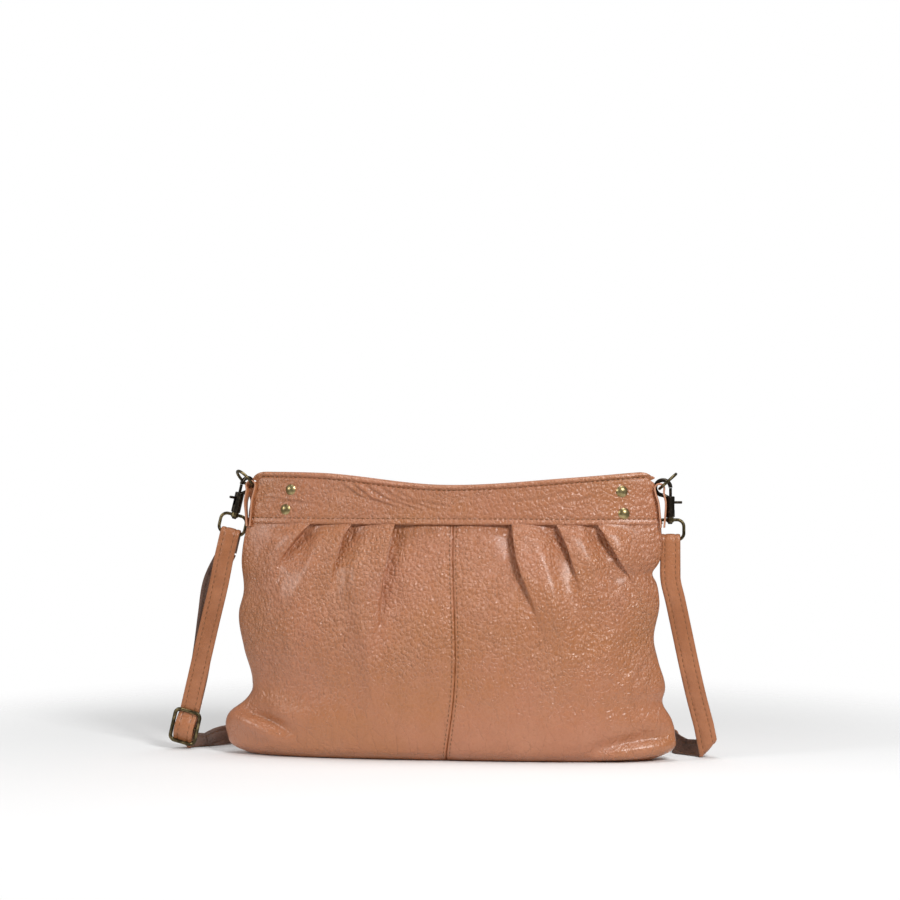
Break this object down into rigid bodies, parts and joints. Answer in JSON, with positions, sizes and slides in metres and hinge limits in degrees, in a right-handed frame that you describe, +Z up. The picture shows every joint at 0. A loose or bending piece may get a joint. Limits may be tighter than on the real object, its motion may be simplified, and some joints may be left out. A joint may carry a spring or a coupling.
{
  "type": "sling bag",
  "caption": "Soft leather crossbody bag with pleated front, riveted top band, zipped mouth, side rings with swivel snap hooks and an adjustable clip-on strap.",
  "frame": {"origin": "centre of the flat base that the bag stands on", "axes": "+X across the bag to the right as seen from its pleated front, +Y to its back, +Z up"},
  "size_m": [0.4206, 0.1587, 0.2147],
  "materials": {
    "leather": "pebbled, semi-gloss",
    "strap_leather": "smooth grain, satin",
    "lining_cloth": "twill, matt",
    "antique_brass": "antique, worn",
    "dark_bronze": "dark antique",
    "rivet_brass": "antique, satin",
    "zip_metal": "antique",
    "zip_tape": "woven, matt",
    "spring_steel": "drawn wire"
  },
  "bodies": {
    "root": {"front_panel_left": "leather", "front_panel_right": "leather", "back_panel": "leather", "top_band_front": "leather", "top_band_back": "leather", "left_tab": "leather", "right_tab": "leather", "rivet_caps": "rivet_brass", "rivet_posts": "rivet_brass", "lining_front": "lining_cloth", "lining_back": "lining_cloth", "inner_pocket": "lining_cloth", "zip_facing_front": "leather", "zip_facing_back": "leather", "zip_tape_front": "zip_tape", "zip_tape_back": "zip_tape", "zip_teeth_front": "zip_metal", "zip_teeth_back": "zip_metal", "zip_stops": "zip_metal", "left_swivel_eye": "antique_brass", "right_swivel_eye": "antique_brass", "strap_right_loop": "strap_leather", "strap_right_drop": "strap_leather", "strap_floor_run": "strap_leather", "strap_left_fold": "strap_leather", "strap_left_outer": "strap_leather", "strap_left_inner": "strap_leather"},
    "left_ring": {"left_tab_ring": "antique_brass"},
    "right_ring": {"right_tab_ring": "antique_brass"},
    "left_hook": {"left_hook_body": "dark_bronze", "left_hook_spring": "spring_steel"},
    "right_hook": {"right_hook_body": "dark_bronze", "right_hook_spring": "spring_steel"},
    "left_bolt": {"left_hook_bolt": "dark_bronze"},
    "right_bolt": {"right_hook_bolt": "dark_bronze"},
    "zip_runner": {"zip_slider": "zip_metal"},
    "zip_tab": {"zip_pull": "zip_metal"},
    "strap_adjuster": {"strap_slider": "antique_brass", "strap_slider_bar": "antique_brass", "strap_wrap": "strap_leather"}
  },
  "joints": [
    {"name": "left_ring_swing", "type": "hinge", "parent": "root", "child": "left_ring", "pos_m": [-0.1536, 0, 0.2018], "axis": [-0.2936, 0.9063, -0.304], "range_deg": [-20, 4]},
    {"name": "right_ring_swing", "type": "hinge", "parent": "root", "child": "right_ring", "pos_m": [0.1539, 0, 0.2008], "axis": [0, 1, 0], "range_deg": [-4, 20]},
    {"name": "left_hook_swivel", "type": "hinge", "parent": "root", "child": "left_hook", "pos_m": [-0.16753, 0.0033, 0.1821], "axis": [0.2317, 0, 0.9728], "range_deg": [-15, 12]},
    {"name": "right_hook_swivel", "type": "hinge", "parent": "root", "child": "right_hook", "pos_m": [0.16155, 0.0052, 0.17955], "axis": [-0.0052, 0, 1], "range_deg": [-6, 4]},
    {"name": "left_bolt_slide", "type": "slide", "parent": "left_hook", "child": "left_bolt", "axis": [-0.2317, 0, -0.9728], "range_m": [0, 0.0042], "stiffness_N_per_m": 150, "springref_m": -0.004, "deforming": ["left_hook_spring"]},
    {"name": "right_bolt_slide", "type": "slide", "parent": "right_hook", "child": "right_bolt", "axis": [0.0052, 0, -1], "range_m": [0, 0.0042], "stiffness_N_per_m": 150, "springref_m": -0.004, "deforming": ["right_hook_spring"]},
    {"name": "zip_slide", "type": "slide", "parent": "root", "child": "zip_runner", "axis": [-1, 0, 0], "range_m": [0, 0.192]},
    {"name": "zip_pull_flip", "type": "hinge", "parent": "zip_runner", "child": "zip_tab", "pos_m": [0.095, 0, 0.1981], "axis": [0, 1, 0], "range_deg": [0, 150]},
    {"name": "strap_adjust", "type": "slide", "parent": "root", "child": "strap_adjuster", "axis": [0.2514, -0.117, 0.9608], "range_m": [0, 0.065]}
  ]
}
